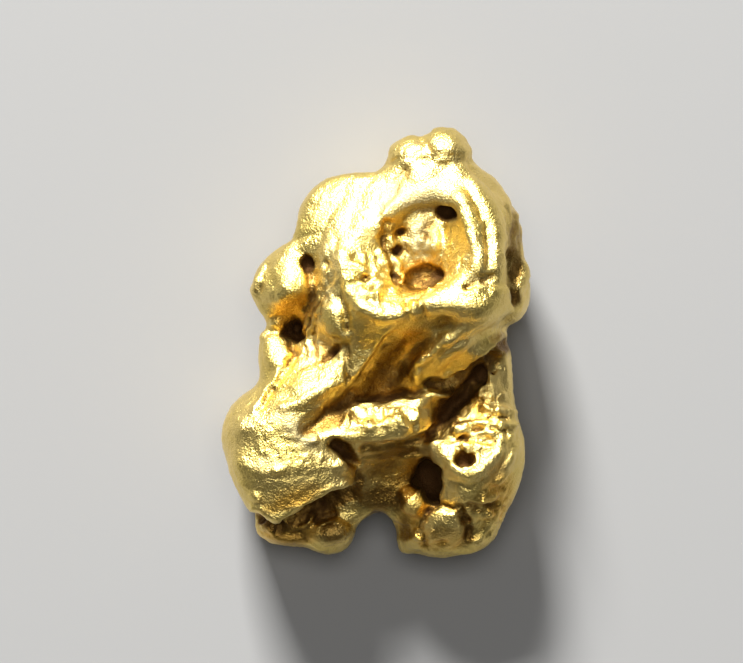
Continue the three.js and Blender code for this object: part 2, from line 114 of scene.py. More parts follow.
# rounded lumps: x, y, half length, half width, turn of the length from +X in degrees, height
domes = {
    "knob": [(1.92, 5.48, 0.62, 0.52, 0, 0.2), (0.92, 5.36, 0.58, 0.4, 15, 0.16),
             (2.3, 5.34, 0.34, 0.26, -30, 0.2)],
    "rim": [(1.25, 4.75, 0.42, 0.3, 10, 0.08), (2.3, 4.78, 0.36, 0.28, -20, 0.08),
            (0.45, 4.75, 0.3, 0.25, 0, 0.05)],
    "boss": [(1.15, 2.75, 0.3, 0.24, 60, 0.1), (1.5, 2.6, 0.26, 0.3, 0, 0.09)],
    "lips": [(1.08, 0.98, 0.26, 0.22, 80, 0.15), (3.45, 1.4, 0.36, 0.26, 0, 0.14),
             (3.2, 1.08, 0.45, 0.22, 0, 0.12), (-0.85, 2.3, 0.4, 0.2, 80, 0.08)],
    "cavity floor": [(-2.6, 0.55, 0.34, 0.26, 0, 0.22)],
    "left lobe": [(-2.35, 1.95, 0.62, 0.5, -50, 0.14), (-2.2, 2.72, 0.4, 0.2, 10, 0.08),
                  (-3.3, 1.65, 0.4, 0.12, 70, 0.1)],
    "leaf": [(-1.2, 0.64, 0.7, 0.36, -62, 0.22), (-1.28, 1.2, 0.2, 0.14, 0, 0.08)],
    "lump": [(-2.75, -0.22, 0.55, 0.42, -65, 0.16), (-3.1, 0.25, 0.16, 0.12, 0, 0.08)],
    "shelf": [(-1.35, -0.75, 0.5, 0.34, 60, 0.1), (-1.95, -1.0, 0.55, 0.3, 50, 0.07)],
    "block top": [(-1.72, -2.65, 0.2, 0.14, 0, 0.08), (-2.7, -3.5, 0.2, 0.1, 10, 0.12),
                  (-1.95, -3.1, 0.16, 0.1, 0, 0.05), (-2.6, -3.0, 0.2, 0.12, 30, 0.04),
                  (-0.95, -3.32, 0.3, 0.16, -10, 0.1), (-3.7, -3.85, 0.16, 0.14, 0, 0.06)],
    "block corner": [(-3.35, -4.2, 0.22, 0.14, -45, 0.1), (-3.2, -4.55, 0.2, 0.12, -30, 0.08)],
    "bar": [(1.2, -1.62, 0.34, 0.22, 20, 0.12), (0.62, -2.3, 0.46, 0.3, 0, 0.16),
            (-0.15, -2.3, 0.42, 0.28, 0, 0.1), (-0.75, -2.2, 0.3, 0.2, 30, 0.07),
            (1.3, -2.05, 0.3, 0.2, -10, 0.08)],
    "small bump": [(1.78, -1.36, 0.36, 0.17, 0, 0.26)],
    "apex": [(3.2, -1.05, 0.44, 0.22, 85, 0.2), (3.12, -1.4, 0.24, 0.18, 0, 0.16),
             (3.45, -1.45, 0.2, 0.16, 0, 0.12)],
    "right lobe": [(1.6, -2.74, 0.24, 0.18, 0, 0.16), (1.92, -3.0, 0.42, 0.4, 0, 0.16),
                   (2.5, -3.0, 0.5, 0.5, 0, 0.06), (3.3, -2.0, 0.5, 0.3, 0, 0.06)],
    "right slope": [(3.5, -3.68, 0.34, 0.14, 40, 0.12), (3.12, -4.2, 0.3, 0.13, 30, 0.12),
                    (3.2, -4.95, 0.4, 0.12, 55, 0.1), (2.78, -5.45, 0.22, 0.13, 20, 0.12),
                    (3.75, -3.1, 0.5, 0.14, 65, 0.06)],
    "right foot": [(1.0, -4.32, 0.5, 0.34, -48, 0.4), (1.88, -5.05, 0.66, 0.6, 0, 0.26),
                   (1.15, -5.45, 0.3, 0.26, 30, 0.1), (1.35, -4.9, 0.25, 0.2, 0, 0.08),
                   (1.9, -5.7, 0.3, 0.16, 0, 0.08)],
    "left foot": [(-1.3, -5.2, 0.62, 0.38, 10, 0.2), (-1.95, -4.92, 0.4, 0.2, 42, 0.24),
                  (-3.1, -5.12, 0.36, 0.13, -35, 0.18), (-2.42, -5.08, 0.16, 0.12, 60, 0.1),
                  (-1.65, -5.6, 0.3, 0.12, -20, 0.08)],
    "flank": [(4.1, 1.9, 0.4, 0.12, 85, 0.12), (3.95, 3.4, 0.5, 0.16, 95, 0.06)],
}

# raised edges and folds: half width, height and the points they run through
ridges = {
    "crater inner": (0.3, 0.12, [(2.35, 3.95), (2.5, 3.6), (2.68, 3.1), (2.8, 2.6), (2.85, 2.15)]),
    "crater outer": (0.3, 0.12, [(2.7, 4.5), (3.05, 4.1), (3.3, 3.6), (3.38, 3.0), (3.35, 2.3),
                                 (3.3, 2.0)]),
    "left lip": (0.2, 0.10, [(-1.0, 2.55), (-1.03, 2.05), (-0.8, 1.5), (-0.38, 1.02), (0.15, 0.78),
                             (0.7, 0.78)]),
    "right lip": (0.28, 0.18, [(1.35, 1.02), (1.7, 1.06), (2.3, 1.04), (2.9, 1.04), (3.5, 1.18)]),
    "right lip low": (0.24, 0.2, [(2.25, 0.9), (2.8, 0.86), (3.3, 0.94), (3.6, 1.1)]),
    "shoulder fold": (0.2, 0.03, [(0.2, 4.75), (-0.1, 4.2), (-0.3, 3.6), (-0.55, 3.0)]),
    "shoulder fold left": (0.18, 0.025, [(-0.5, 4.5), (-0.8, 3.9), (-1.0, 3.3)]),
    "shoulder edge": (0.16, 0.03, [(-1.0, 4.35), (-1.5, 3.95), (-1.75, 3.4)]),
    "lobe cord": (0.07, 0.07, [(-2.25, 2.5), (-2.2, 2.2), (-2.0, 1.95)]),
    "fold one": (0.07, 0.09, [(-1.45, 1.3), (-1.7, 0.9), (-1.87, 0.45), (-1.88, 0.0), (-1.8, -0.4)]),
    "fold two": (0.06, 0.08, [(-1.62, 1.1), (-1.9, 0.75), (-2.05, 0.3), (-2.05, -0.2)]),
    "fold three": (0.07, 0.07, [(-1.55, 0.6), (-1.62, 0.1), (-1.5, -0.4)]),
    "thin cord": (0.1, 0.10, [(-2.6, -0.6), (-2.85, -1.05), (-3.1, -1.45), (-3.4, -1.85)]),
    "shelf edge": (0.14, 0.08, [(-0.97, -0.1), (-0.95, -0.5), (-0.9, -1.0)]),
    "shelf low edge": (0.18, 0.12, [(-2.6, -1.75), (-2.1, -1.6), (-1.5, -1.25), (-0.95, -1.0)]),
    "facet edge": (0.12, 0.07, [(0.5, 0.5), (0.05, 0.1), (-0.25, -0.45), (-0.6, -0.9)]),
    "crest head": (0.28, 0.2, [(3.2, 0.85), (2.8, 0.62), (2.45, 0.42)]),
    "diagonal crest": (0.2, 0.16, [(2.75, 0.85), (2.3, 0.42), (1.92, 0.1), (1.6, -0.3), (1.2, -0.55),
                                   (1.05, -0.9)]),
    "roll streak": (0.12, 0.05, [(3.3, 0.6), (2.7, 0.2), (2.2, -0.2), (1.7, -0.65)]),
    "roll edge": (0.12, 0.06, [(3.6, 0.2), (3.0, -0.2), (2.5, -0.6), (1.9, -0.95)]),
    "bar top": (0.14, 0.12, [(-0.95, -1.9), (-0.5, -1.72), (0.25, -1.75), (0.85, -1.58), (1.3, -1.5)]),
    "bar foot": (0.15, 0.08, [(-1.2, -2.5), (-0.4, -2.56), (0.5, -2.52), (1.1, -2.42), (1.6, -2.2)]),
    "block brow": (0.3, 0.06, [(-2.7, -1.95), (-2.3, -2.2), (-1.95, -2.55)]),
    "block break": (0.2, 0.02, [(-3.8, -3.3), (-3.0, -3.5), (-2.2, -3.42), (-1.4, -3.32), (-0.8, -3.35)]),
    "block low edge": (0.18, 0.12, [(-3.35, -4.55), (-3.0, -4.85), (-2.55, -4.88), (-1.95, -4.42),
                                    (-1.35, -4.12), (-0.75, -3.88)]),
    "apex bar": (0.14, 0.24, [(3.12, -0.65), (3.04, -1.05), (2.92, -1.45)]),
    "step one": (0.11, 0.15, [(3.0, -1.8), (3.35, -1.85), (3.8, -1.9)]),
    "step two": (0.10, 0.15, [(2.5, -2.15), (2.85, -2.17), (3.15, -2.2)]),
    "step three": (0.10, 0.15, [(3.2, -2.28), (3.55, -2.25), (3.85, -2.2)]),
    "step four": (0.10, 0.15, [(2.15, -2.42), (2.5, -2.4), (2.9, -2.42), (3.3, -2.5)]),
    "step five": (0.11, 0.15, [(2.0, -2.82), (2.45, -2.78), (2.95, -2.85), (3.5, -2.7)]),
    "bright edge": (0.14, 0.10, [(2.0, -3.3), (2.25, -3.55), (2.55, -3.62), (2.95, -3.4), (3.35, -3.0),
                                 (3.75, -2.5)]),
    "ring": (0.09, 0.09, [(2.12, -3.15), (2.25, -2.92), (2.5, -2.85), (2.76, -3.0), (2.78, -3.25),
                          (2.55, -3.45), (2.3, -3.4), (2.12, -3.15)]),
    "pit side": (0.12, 0.08, [(1.95, -3.5), (2.0, -3.9), (1.75, -4.4)]),
}

# creases and open seams: half width, depth and the points they run through
creases = {
    "behind the knobs": (0.1, 0.07, [(0.45, 5.05), (0.9, 5.14), (1.5, 5.14), (2.1, 5.2), (2.6, 5.08)]),
    "between the knobs": (0.1, 0.08, [(1.2, 5.62), (1.45, 5.45), (1.55, 5.2)]),
    "rim fold": (0.12, 0.1, [(0.8, 4.82), (0.65, 4.6), (0.5, 4.2), (0.15, 3.85), (0.02, 3.45)]),
    "rim right": (0.08, 0.08, [(2.6, 4.95), (2.9, 4.6), (3.25, 4.3)]),
    "crater wall foot": (0.16, 0.1, [(0.75, 3.5), (1.1, 3.72), (1.6, 3.78), (2.1, 3.55)]),
    "boss left": (0.08, 0.09, [(0.85, 3.4), (0.85, 3.0), (0.82, 2.65), (0.95, 2.35)]),
    "boss right": (0.08, 0.06, [(1.86, 3.3), (1.82, 2.9), (1.85, 2.5), (1.7, 2.2)]),
    "boss crack": (0.06, 0.08, [(1.55, 3.3), (1.42, 3.0), (1.3, 2.85), (1.32, 2.5)]),
    "boss crack two": (0.05, 0.07, [(1.0, 3.15), (1.25, 2.98), (1.7, 2.92)]),
    "gully": (0.12, 0.14, [(0.25, 3.2), (0.2, 2.8), (0.35, 2.45), (0.45, 2.1), (0.6, 1.75), (0.8, 1.5)]),
    "lip crack": (0.08, 0.12, [(-0.6, 2.3), (-0.3, 2.24), (-0.05, 2.36), (0.15, 2.5)]),
    "lip crack low": (0.07, 0.12, [(-0.35, 1.9), (0.0, 1.82), (0.2, 1.9)]),
    "crumb crack": (0.06, 0.12, [(0.05, 2.45), (0.2, 2.15), (0.15, 1.75), (0.3, 1.45)]),
    "crumb crack two": (0.06, 0.1, [(-0.5, 2.0), (-0.3, 1.65), (-0.05, 1.5)]),
    "crumb crack three": (0.06, 0.12, [(0.2, 2.75), (0.4, 2.55), (0.75, 2.45)]),
    "crumb crack four": (0.05, 0.1, [(0.55, 1.5), (0.75, 1.35), (0.95, 1.4)]),
    "between the ridges": (0.12, 0.07, [(2.5, 4.35), (2.8, 3.85), (3.02, 3.3), (3.08, 2.7), (3.02, 2.1)]),
    "small pocket": (0.14, 0.14, [(2.5, 1.66), (2.8, 1.76), (3.15, 1.84)]),
    "lips parting": (0.09, 0.14, [(1.15, 1.25), (1.3, 1.0), (1.35, 0.8)]),
    "bead left": (0.08, 0.12, [(0.88, 1.2), (0.84, 0.95), (0.9, 0.75)]),
    "flank seam": (0.2, 0.3, [(3.78, 2.5), (3.84, 2.0), (3.84, 1.6), (3.86, 1.2)]),
    "flank edge": (0.1, 0.1, [(3.62, 3.8), (3.66, 3.2), (3.66, 2.6)]),
    "flank streak": (0.07, 0.1, [(3.82, 3.9), (3.84, 3.2), (3.8, 2.7)]),
    "flank streak two": (0.06, 0.08, [(3.98, 3.5), (3.98, 2.9), (4.0, 2.4)]),
    "shoulder seam": (0.08, 0.035, [(-1.1, 3.9), (-1.35, 3.4), (-1.42, 2.9)]),
    "shoulder seam two": (0.07, 0.03, [(-0.15, 4.65), (-0.55, 4.0), (-0.8, 3.2)]),
    "strip left": (0.12, 0.08, [(-1.55, 3.05), (-1.65, 2.6), (-1.7, 2.1), (-1.62, 1.6), (-1.5, 1.3)]),
    "strip right": (0.08, 0.08, [(-1.1, 2.9), (-1.12, 2.3), (-1.0, 1.8), (-0.95, 1.4)]),
    "lobe crevice": (0.1, 0.16, [(-1.9, 2.35), (-1.86, 2.0), (-1.78, 1.6), (-1.8, 1.25), (-2.0, 0.95)]),
    "lobe back": (0.08, 0.08, [(-2.6, 2.95), (-2.1, 2.92), (-1.7, 3.05)]),
    "lobe outer": (0.07, 0.08, [(-3.0, 2.3), (-3.15, 1.9), (-3.2, 1.5)]),
    "fold seam": (0.06, 0.14, [(-1.55, 1.2), (-1.8, 0.8), (-1.97, 0.4), (-1.97, -0.1)]),
    "fold seam two": (0.05, 0.12, [(-1.55, 0.9), (-1.72, 0.5), (-1.74, 0.0), (-1.65, -0.35)]),
    "leaf side": (0.08, 0.16, [(-1.5, 1.1), (-1.5, 0.7), (-1.3, 0.25), (-0.95, 0.15)]),
    "leaf right": (0.09, 0.14, [(-1.0, 1.35), (-0.85, 0.9), (-0.78, 0.45)]),
    "dark slit": (0.1, 0.2, [(-1.0, -0.02), (-1.2, -0.22), (-1.42, -0.42)]),
    "cord seam": (0.07, 0.14, [(-2.35, -0.45), (-2.68, -0.95), (-2.95, -1.4), (-3.25, -1.78)]),
    "lump side": (0.08, 0.14, [(-2.35, 0.05), (-2.25, -0.3), (-2.4, -0.65)]),
    "shelf wall": (0.1, 0.12, [(-0.82, 0.0), (-0.8, -0.5), (-0.78, -0.95)]),
    "shade band": (0.26, 0.22, [(-1.95, -2.4), (-1.5, -2.05), (-1.05, -1.68), (-0.6, -1.35)]),
    "valley left": (0.14, 0.12, [(0.55, 0.32), (0.15, -0.05), (-0.12, -0.55), (-0.45, -1.0)]),
    "valley right": (0.14, 0.14, [(1.9, -0.12), (1.5, -0.5), (1.08, -0.7), (0.95, -1.0)]),
    "above the bar": (0.15, 0.2, [(-1.0, -1.65), (-0.5, -1.5), (0.3, -1.52), (0.85, -1.35), (1.3, -1.28)]),
    "bar split": (0.07, 0.1, [(0.85, -1.85), (0.95, -2.1), (1.05, -2.25)]),
    "bar split two": (0.06, 0.07, [(-0.5, -1.8), (-0.42, -2.1), (-0.5, -2.35)]),
    "under the bar": (0.16, 0.2, [(-0.3, -2.88), (0.4, -2.84), (1.0, -2.74), (1.5, -2.52)]),
    "under the bar two": (0.12, 0.12, [(-0.35, -3.15), (0.1, -3.0), (0.7, -3.05), (1.2, -3.0)]),
    "bay streak": (0.1, 0.1, [(0.1, -4.0), (0.6, -3.92), (1.1, -3.85)]),
    "bay streak two": (0.1, 0.08, [(-0.4, -3.5), (0.2, -3.45), (0.9, -3.5)]),
    "roll seam": (0.07, 0.06, [(3.0, 0.7), (2.4, 0.2), (1.95, -0.2), (1.45, -0.6)]),
    "roll seam two": (0.07, 0.07, [(3.5, 0.45), (2.9, 0.05), (2.3, -0.4), (1.8, -0.8)]),
    "shade line": (0.16, 0.26, [(3.6, 0.02), (3.1, -0.42), (2.55, -0.8), (2.0, -1.08), (1.5, -1.1)]),
    "crevice": (0.22, 0.35, [(3.3, -0.35), (2.85, -0.95), (2.45, -1.35), (2.1, -1.7), (1.85, -2.1),
                             (1.6, -2.45)]),
    "block groove": (0.08, 0.03, [(-3.4, -3.62), (-2.9, -3.7), (-2.2, -3.62), (-1.4, -3.5)]),
    "block overhang": (0.24, 0.5, [(-3.3, -4.82), (-3.0, -5.1), (-2.55, -5.12), (-2.1, -4.8),
                                   (-1.6, -4.5), (-1.1, -4.25), (-0.6, -4.1)]),
    "comma": (0.17, 0.42, [(-1.12, -2.78), (-0.92, -2.85), (-0.72, -3.05), (-0.55, -3.3)]),
    "comma tail": (0.12, 0.3, [(-0.42, -3.6), (-0.4, -3.85), (-0.5, -4.05)]),
    "apex slot": (0.05, 0.1, [(3.36, -1.15), (3.3, -1.35), (3.36, -1.6)]),
    "apex left": (0.08, 0.14, [(3.0, -0.85), (3.0, -1.2), (2.92, -1.55)]),
    "step seam one": (0.06, 0.17, [(2.85, -2.0), (3.2, -2.02), (3.65, -2.05)]),
    "step seam two": (0.08, 0.18, [(2.25, -2.2), (2.45, -2.12), (2.65, -2.05)]),
    "step seam three": (0.06, 0.15, [(2.75, -2.32), (3.1, -2.36), (3.6, -2.38)]),
    "step seam four": (0.08, 0.18, [(2.28, -2.62), (2.5, -2.6), (2.72, -2.64)]),
    "step seam five": (0.06, 0.14, [(2.9, -2.62), (3.1, -2.76), (3.35, -2.62)]),
    "slope seam": (0.1, 0.1, [(2.1, -3.8), (2.6, -3.95), (3.0, -3.75), (3.4, -3.4), (3.8, -2.85)]),
    "slope seam two": (0.1, 0.1, [(3.2, -4.0), (3.45, -3.95), (3.75, -3.55)]),
    "slope seam three": (0.12, 0.14, [(2.5, -4.5), (2.9, -4.5), (3.3, -4.45)]),
    "dome edge": (0.1, 0.18, [(1.35, -4.62), (1.8, -4.42), (2.3, -4.55), (2.58, -4.95), (2.55, -5.3)]),
    "foot seam": (0.08, 0.14, [(1.45, -4.6), (1.25, -4.95), (1.4, -5.3), (1.35, -5.6)]),
    "toe seam": (0.09, 0.18, [(-2.15, -5.2), (-1.85, -5.05), (-1.55, -4.8), (-1.1, -4.72)]),
    "toe seam two": (0.08, 0.16, [(-2.65, -5.2), (-2.55, -5.35), (-2.3, -5.3), (-2.1, -5.3)]),
}

# broad soft hollows: x, y, half length, half width, turn, depth
hollows = {
    "valley": [(0.3, -0.7, 1.0, 0.6, 30, 0.12)],
    "gold pocket": [(1.4, 1.9, 0.5, 0.4, 10, 0.2), (1.05, 1.75, 0.35, 0.3, 0, 0.14)],
    "bay": [(0.4, -3.6, 0.9, 0.9, 0, 0.15)],
    "under the lobe": [(-2.35, 0.8, 0.5, 0.35, 0, 0.06)],
}

# holes: x, y, half length, half width, turn, depth
holes = {
    "crater": [(1.9, 3.64, 0.22, 0.17, -10, 0.5), (0.62, 2.62, 0.15, 0.12, 0, 0.25),
               (0.53, 1.94, 0.16, 0.13, 60, 0.25), (0.7, 3.1, 0.22, 0.12, 20, 0.2),
               (0.3, 3.35, 0.2, 0.14, 0, 0.15), (0.02, 1.82, 0.1, 0.06, 10, 0.12),
               (1.66, 1.95, 0.17, 0.12, 20, 0.25), (1.05, 1.98, 0.14, 0.1, -30, 0.14),
               (0.35, 2.55, 0.08, 0.08, 0, 0.16), (0.15, 2.95, 0.1, 0.08, 0, 0.12),
               (0.75, 1.6, 0.1, 0.08, 0, 0.12)],
    "pocket": [(2.5, 1.62, 0.14, 0.08, 0, 0.2)],
    "strip": [(-1.42, 2.2, 0.13, 0.07, 80, 0.14), (-1.3, 1.62, 0.16, 0.07, 60, 0.16),
              (-1.45, 1.38, 0.12, 0.08, 0, 0.14)],
    "left lobe": [(-1.9, 2.27, 0.2, 0.13, 100, 0.35)],
    "cavity": [(-2.3, 0.42, 0.2, 0.12, 10, 0.2), (-2.14, 0.2, 0.14, 0.1, 30, 0.2)],
    "flank": [(3.85, 1.3, 0.26, 0.15, 85, 0.3)],
    "right lobe": [(2.45, -3.15, 0.27, 0.21, 10, 0.42), (2.5, -2.6, 0.22, 0.09, 0, 0.2),
                   (3.12, -2.78, 0.14, 0.08, 0, 0.12), (3.5, -1.52, 0.1, 0.06, 60, 0.14),
                   (3.35, -2.02, 0.1, 0.05, 0, 0.1)],
    "deep pit": [(1.5, -3.72, 0.52, 0.3, 100, 0.5), (1.62, -3.5, 0.22, 0.14, 80, 0.35),
                 (1.58, -4.15, 0.3, 0.16, 95, 0.4), (1.25, -3.8, 0.2, 0.2, 0, 0.3)],
    "bar": [(0.92, -2.05, 0.14, 0.07, 80, 0.14)],
    "feet": [(1.8, -5.45, 0.26, 0.12, 10, 0.12), (-2.75, -5.02, 0.2, 0.1, 0, 0.15)],
}


def meshPoints(thing):
    points = np.empty(len(thing.data.vertices) * 3)
    thing.data.vertices.foreach_get("co", points)
    return points.reshape(-1, 3)


# every point of the nugget seen through a slight wobble, so that no edge runs true
def wobbledPoints(thing):
    points = meshPoints(thing)
    shift = np.array([noise.noise_vector(Vector(point) * nuggetForm["wobbleScale"]) for point in points])
    fine = np.array([noise.noise_vector(Vector(point) * nuggetForm["fineWobbleScale"]) for point in points])
    return points + nuggetForm["wobble"] * (shift + 0.5 * fine)


def distanceToLine(points, line):
    nearest = np.full(len(points), 1e6)
    for (x0, y0), (x1, y1) in zip(line, line[1:]):
        dx, dy = x1 - x0, y1 - y0
        fromX, fromY = points[:, 0] - x0, points[:, 1] - y0
        along = np.clip((fromX * dx + fromY * dy) / (dx * dx + dy * dy), 0, 1)
        nearest = np.minimum(nearest, np.hypot(fromX - along * dx, fromY - along * dy))
    return nearest


def reachFromOval(points, x, y, halfLength, halfWidth, turn):
    cosine, sine = math.cos(math.radians(turn)), math.sin(math.radians(turn))
    dx, dy = points[:, 0] - x, points[:, 1] - y
    return np.hypot((dx * cosine + dy * sine) / halfLength, (dy * cosine - dx * sine) / halfWidth)


def upwardness(thing):
    normals = np.empty(len(thing.data.vertices) * 3)
    thing.data.vertices.foreach_get("normal", normals)
    return normals.reshape(-1, 3)[:, 2]


def upperSide(thing):
    return np.clip(upwardness(thing) * 4 + 0.6, 0, 1)


# weights painted on the skin, then pushed in or out by a Displace modifier
def pushSkin(thing, name, weights, height):
    group = thing.vertex_groups.new(name=name)
    strongest = max(float(weights.max()), 1e-6)
    for index in np.nonzero(weights > 1e-3)[0]:
        group.add([int(index)], float(weights[index] / strongest), "REPLACE")
    applyModifier(thing, "DISPLACE", strength=height * strongest, mid_level=0.0, vertex_group=name)
    thing.vertex_groups.remove(thing.vertex_groups[name])


def sculpt(thing):
    points, upper = wobbledPoints(thing), upperSide(thing)
    raised = np.zeros(len(points))
    for places in domes.values():
        for x, y, halfLength, halfWidth, turn, height in places:
            reach = reachFromOval(points, x, y, halfLength, halfWidth, turn)
            raised = np.maximum(raised, height * np.sqrt(np.clip(1 - reach ** 2, 0, 1)))
    for halfWidth, height, line in ridges.values():
        reach = np.clip(distanceToLine(points, line) / halfWidth / nuggetForm["runOut"], 0, 1)
        raised = np.maximum(raised, height * (1 - reach ** 2) ** 2)
    lowered = np.zeros(len(points))
    for halfWidth, depth, line in creases.values():
        reach = np.clip(distanceToLine(points, line) / halfWidth / nuggetForm["runOut"], 0, 1)
        lowered = np.maximum(lowered, depth * (1 - reach) ** 1.3)
    for places in hollows.values():
        for x, y, halfLength, halfWidth, turn, depth in places:
            reach = np.clip(reachFromOval(points, x, y, halfLength, halfWidth, turn), 0, 1)
            lowered = np.maximum(lowered, depth * (1 - reach ** 2) ** 1.5)
    for places in holes.values():
        for x, y, halfLength, halfWidth, turn, depth in places:
            widened = halfLength * nuggetForm["holeRunOut"], halfWidth * nuggetForm["holeRunOut"]
            reach = np.clip(reachFromOval(points, x, y, *widened, turn), 0, 1)
            lowered = np.maximum(lowered, depth * (1 - reach ** 3))
    pushSkin(thing, "raised", raised * upper, 1.0)
    pushSkin(thing, "lowered", lowered * upper, -1.0)


sculpt(nugget)
print("lumps, folds, creases and holes pushed in and out")


def skinPoint(x, y):
    hit, place, normal, face = nugget.ray_cast(Vector((x, y, 20)), Vector((0, 0, -1)))
    return (place, normal) if hit else (Vector((x, y, 2.5)), Vector((0, 0, 1)))


# heaps of crumbs: centre x, y, half width, half length, how many, smallest and largest
crumbHeaps = [
    (-0.2, 1.95, 0.5, 0.65, 46, 0.10, 0.21),  # inside the left lip
    (0.5, 2.3, 0.3, 0.8, 30, 0.07, 0.15),  # the gully
    (1.3, 1.75, 0.45, 0.3, 10, 0.06, 0.14),  # the gold pocket's floor
    (1.35, 2.85, 0.42, 0.6, 14, 0.08, 0.15),  # the boss
    (0.2, -2.05, 1.15, 0.26, 30, 0.10, 0.19),  # the bar's face
    (2.9, -2.3, 0.8, 0.7, 30, 0.08, 0.15),  # the right lobe's slope
    (2.25, 2.5, 0.2, 0.8, 8, 0.05, 0.1),  # between the crater and its right ridge
    (-1.35, 1.9, 0.22, 0.7, 10, 0.05, 0.09),  # the strip beside the left lip
    (2.8, 1.74, 0.34, 0.14, 4, 0.05, 0.09),  # the small pocket at the end of the right ridge
    (1.2, -5.3, 0.4, 0.3, 8, 0.07, 0.13),  # the right foot
    (2.9, -4.7, 0.6, 0.7, 12, 0.07, 0.13),  # the slope above it
    (-2.3, -2.8, 1.2, 0.6, 22, 0.04, 0.08),  # grains on the block's top
]


def addCrumb(x, y, size, dice):
    place, normal = skinPoint(x, y)
    sunk = place - normal * size * 0.2  # a fifth of its size into the skin
    if dice.random() < 0.5:
        bpy.ops.mesh.primitive_ico_sphere_add(subdivisions=2, radius=size, location=sunk)
    else:
        bpy.ops.mesh.primitive_cube_add(size=size * 1.7, location=sunk)
    crumb = bpy.context.object
    crumb.scale = [dice.uniform(0.7, 1.3) for axis in range(3)]
    crumb.rotation_euler = [dice.uniform(0, math.pi) for axis in range(3)]
    applyPlace(crumb)
    return crumb


def scatterCrumbs():
    dice = random.Random(nuggetForm["seed"])
    made = []
    for x, y, halfWidth, halfLength, count, small, large in crumbHeaps:
        for crumb in range(count):
            angle, reach = dice.uniform(0, 2 * math.pi), math.sqrt(dice.random())
            crumbX = x + halfWidth * reach * math.cos(angle)
            crumbY = y + halfLength * reach * math.sin(angle)
            made.append(addCrumb(crumbX, crumbY, dice.uniform(small, large), dice))
    return made


joinAll(nugget, scatterCrumbs())
applyModifier(nugget, "REMESH", mode="VOXEL", voxel_size=nuggetForm["voxel"])
applyModifier(nugget, "SMOOTH", factor=0.5, iterations=1)
print("crumbs joined on:", len(nugget.data.polygons), "faces")

# where the gold is broken and crumbly: centre x, y, half width, half length
crumblyPlaces = [
    (-0.1, 1.9, 0.9, 1.1), (0.6, 2.3, 0.6, 1.2), (0.3, -2.1, 1.5, 0.55), (2.9, -2.2, 1.2, 1.4),
    (-1.4, 1.8, 0.5, 1.2), (1.2, -5.2, 0.9, 0.7), (3.0, -4.4, 0.9, 1.4), (-2.9, -5.1, 0.9, 0.4),
    (-2.2, -3.0, 1.3, 0.7),
]


def crumblyWeights(thing):
    points = meshPoints(thing)
    weights = np.zeros(len(points))
    for x, y, halfWidth, halfLength in crumblyPlaces:
        reach = reachFromOval(points, x, y, halfWidth, halfLength, 0)
        weights = np.maximum(weights, np.clip((1 - reach) * 2.5, 0, 1))
    return weights * upperSide(thing)


crumblyGroup = nugget.vertex_groups.new(name="crumbly")
for index, weight in enumerate(crumblyWeights(nugget)):
    if weight > 0:
        crumblyGroup.add([index], float(weight), "REPLACE")
# the three sizes of dent: name, size, detail, hard edged, and the group it keeps to
for name, size, depth, hard, group in (("buckle", 0.9, 1, False, ""), ("hammer", 0.3, 2, True, ""),
                                       ("crumb", 0.16, 2, False, "crumbly")):
    texture = cloudTexture(name, size, depth, hard)
    applyModifier(nugget, "DISPLACE", texture=texture, strength=nuggetForm[name], mid_level=0.5,
                  texture_coords="LOCAL", vertex_group=group)
print("skin buckled, hammered and broken up")

# rests on its flat underside: whatever the dents pushed below z = 0 is brought back up
for vertex in nugget.data.vertices:
    vertex.co.z = max(vertex.co.z, 0.0)


# how sheltered each point is, from 0 in the open to 1 deep in a pit
def measureShelter(thing, rays=14, reach=1.1):
    tree = BVHTree.FromObject(thing, bpy.context.evaluated_depsgraph_get())
    directions = []
    for i in range(rays):
        height = (i + 0.5) / rays
        angle = i * 2.399963  # the golden angle, which spreads the rays evenly
        flat = math.sqrt(1 - height * height)
        directions.append(Vector((flat * math.cos(angle), flat * math.sin(angle), height)))
    shelter = []
    for vertex in thing.data.vertices:
        turn = Vector((0, 0, 1)).rotation_difference(vertex.normal)
        start = vertex.co + vertex.normal * 0.02
        blocked = 0.0
        for direction in directions:
            hit = tree.ray_cast(start, turn @ direction, reach)
            if hit[0] is not None:
                blocked += 1 - 0.5 * hit[3] / reach
        shelter.append(blocked / rays)
    values = thing.data.attributes.new("shelter", "FLOAT", "POINT")
    values.data.foreach_set("value", shelter)


# the material darkens the gold and turns it orange where this shelter is high: painted shade and a painted
# warm reflection in the hollows
measureShelter(nugget)
